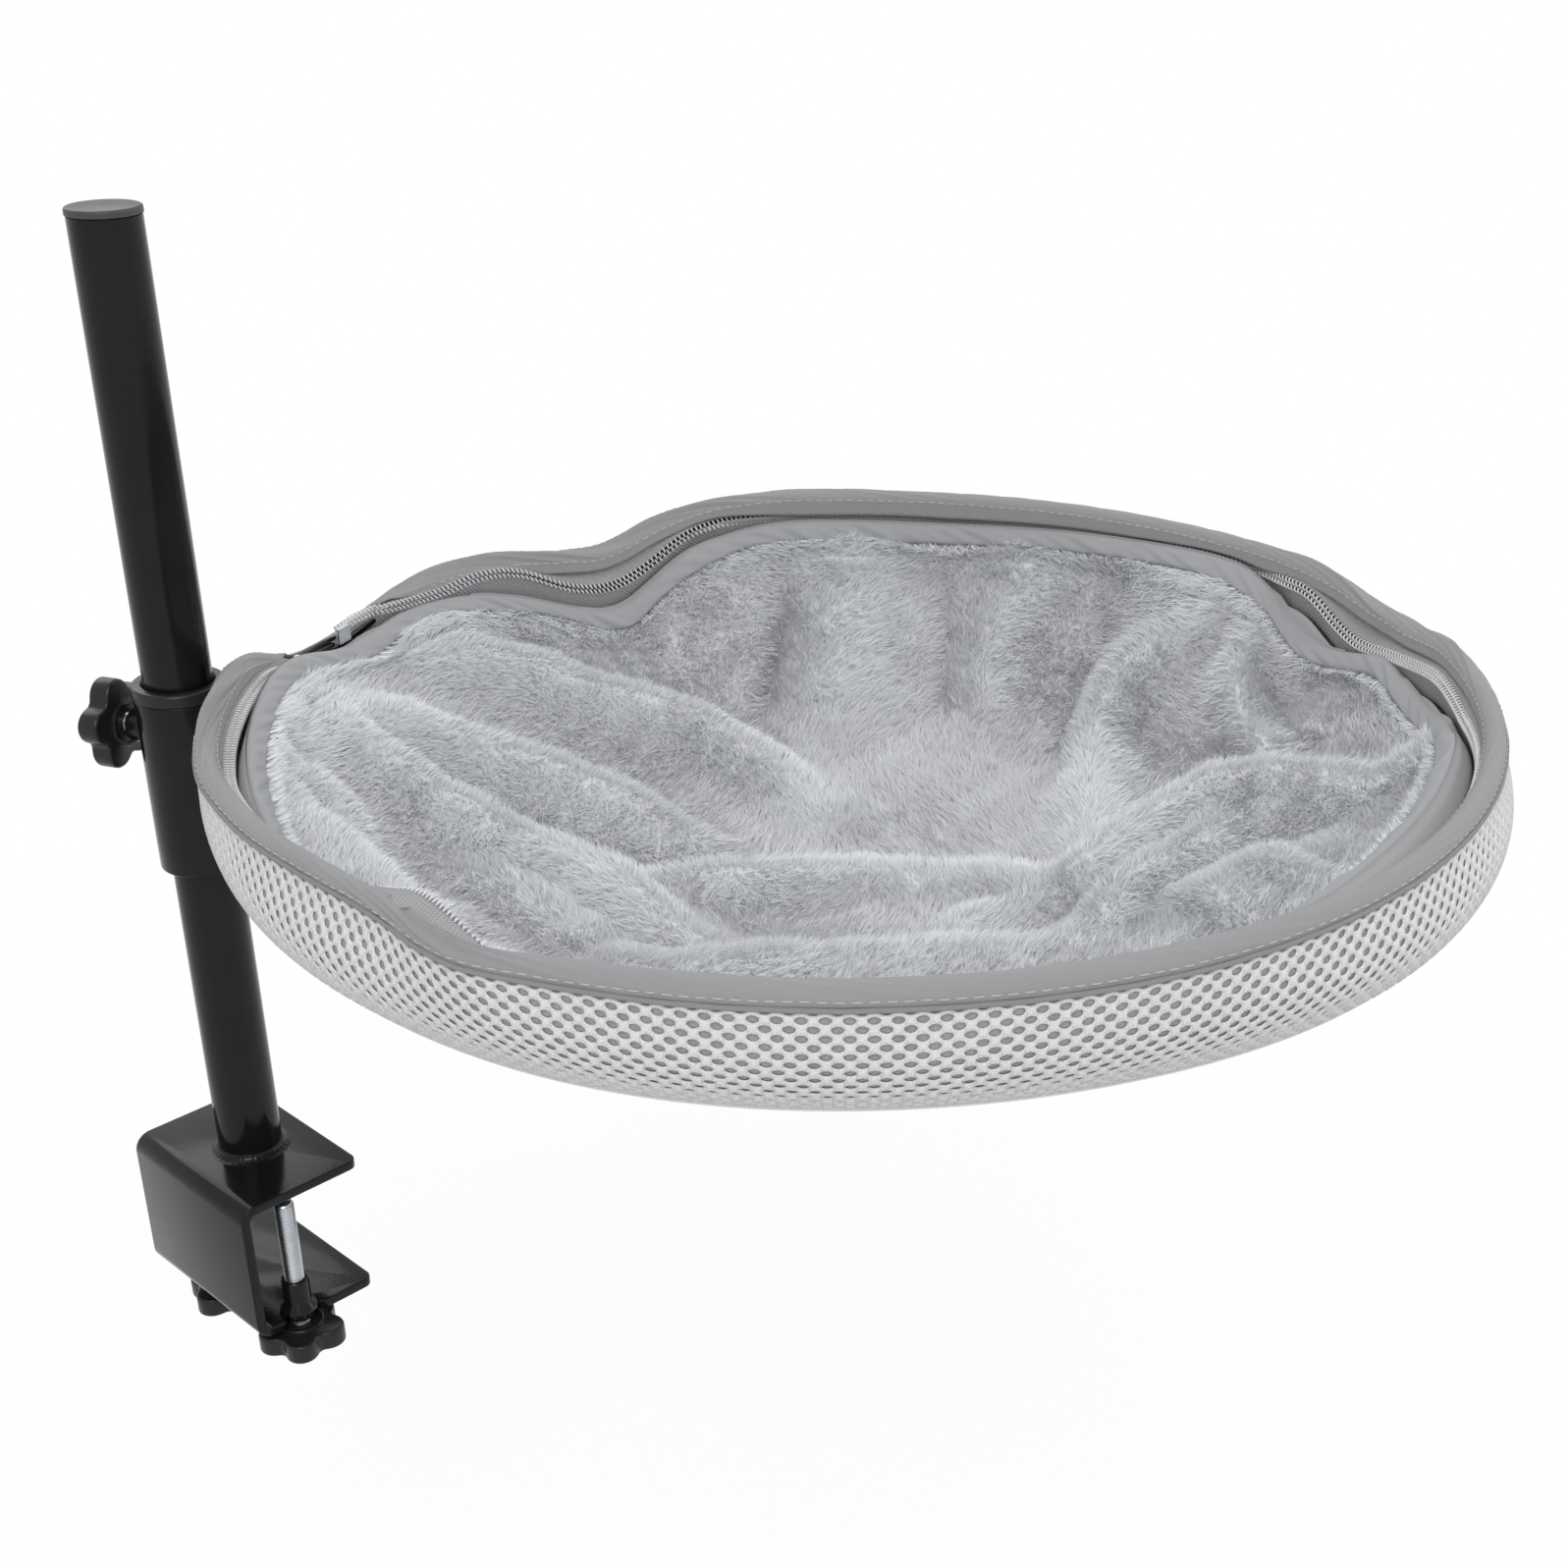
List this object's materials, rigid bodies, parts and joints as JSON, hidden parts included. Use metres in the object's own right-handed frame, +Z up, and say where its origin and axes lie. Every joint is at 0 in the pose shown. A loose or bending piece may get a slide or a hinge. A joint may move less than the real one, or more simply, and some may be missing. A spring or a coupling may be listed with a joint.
{
  "type": "desk cat bed",
  "caption": "Round soft basket for a cat that slides and swivels on a steel pole clamped to a desk edge, with a fleece liner zipped into a mesh shell.",
  "frame": {"origin": "centre of the underside of the upper clamp jaw, which lies on the desk top", "axes": "+Z up along the pole, +X out of the clamp's throat over the desk, +Y across the clamp"},
  "size_m": [0.4593, 0.467, 0.4505],
  "materials": {
    "black_steel": "gloss black powder coat",
    "zinc_steel": "zinc plated",
    "black_plastic": "satin moulded",
    "zip_metal": "bright",
    "grey_fabric": "woven",
    "mesh_fabric": "air mesh",
    "white_tape": "woven tape",
    "plush": "long pile fleece",
    "zip_nylon": "satin"
  },
  "bodies": {
    "bracket": {"clamp_bracket": "black_steel", "weld_nuts": "black_steel", "pole_tube": "black_steel", "pole_weld": "black_steel", "pole_cap": "black_plastic"},
    "carriage": {"bush_upper": "black_plastic", "bush_lower": "black_plastic"},
    "basket": {"sleeve": "black_steel", "lock_boss": "black_steel", "hoop_arm": "black_steel", "hoop": "black_steel", "rim_band": "grey_fabric", "rim_piping": "grey_fabric", "mesh_shell": "mesh_fabric", "zip_tapes": "white_tape", "zip_coils": "zip_nylon", "zip_stops": "zip_metal", "liner_binding": "white_tape", "plush_liner": "plush"},
    "lock_screw": {"lock_screw": "zinc_steel"},
    "lock_knob": {"lock_knob": "black_plastic"},
    "clamp_screw_near": {"clamp_screw_near": "zinc_steel"},
    "clamp_knob_near": {"clamp_knob_near": "black_plastic"},
    "clamp_screw_far": {"clamp_screw_far": "zinc_steel"},
    "clamp_knob_far": {"clamp_knob_far": "black_plastic"},
    "zip_slider": {"zip_slider": "zip_metal"},
    "zip_pull": {"zip_pull": "zip_metal"}
  },
  "joints": [
    {"name": "carriage_slide", "type": "slide", "parent": "bracket", "child": "carriage", "axis": [0, 0, 1], "range_m": [-0.1, 0.15]},
    {"name": "basket_swivel", "type": "hinge", "parent": "carriage", "child": "basket", "pos_m": [0.003, 0, 0.186], "axis": [0, 0, 1], "continuous": true},
    {"name": "lock_screw_travel", "type": "slide", "parent": "basket", "child": "lock_screw", "axis": [-0.4195, 0.9078, 0], "range_m": [0, 0.003]},
    {"name": "lock_knob_turn", "type": "hinge", "parent": "lock_screw", "child": "lock_knob", "pos_m": [0.003, 0, 0.186], "axis": [-0.4195, 0.9078, 0], "range_deg": [0, 864]},
    {"name": "near_screw_travel", "type": "slide", "parent": "bracket", "child": "clamp_screw_near", "axis": [0, 0, 1], "range_m": [-0.04, 0]},
    {"name": "near_knob_turn", "type": "hinge", "parent": "clamp_screw_near", "child": "clamp_knob_near", "pos_m": [-0.006, -0.036, -0.06], "axis": [0, 0, 1], "range_deg": [-11520, 0]},
    {"name": "far_screw_travel", "type": "slide", "parent": "bracket", "child": "clamp_screw_far", "axis": [0, 0, 1], "range_m": [-0.034, 0.006]},
    {"name": "far_knob_turn", "type": "hinge", "parent": "clamp_screw_far", "child": "clamp_knob_far", "pos_m": [-0.006, 0.019, -0.066], "axis": [0, 0, 1], "range_deg": [-9792, 1728]},
    {"name": "zip_run", "type": "hinge", "parent": "basket", "child": "zip_slider", "pos_m": [0.15329, -0.19728, 0.212], "axis": [0, 0, 1], "range_deg": [0, 345]},
    {"name": "pull_swing", "type": "hinge", "parent": "zip_slider", "child": "zip_pull", "pos_m": [0.04133, -0.01742, 0.2036], "axis": [0, 0, 1], "range_deg": [0, 150]}
  ],
  "couplings": [
    {"joint": "lock_knob_turn", "follows": "lock_screw_travel", "rad_per_m": 5026.5},
    {"joint": "near_knob_turn", "follows": "near_screw_travel", "rad_per_m": 5026.5},
    {"joint": "far_knob_turn", "follows": "far_screw_travel", "rad_per_m": 5026.5}
  ]
}
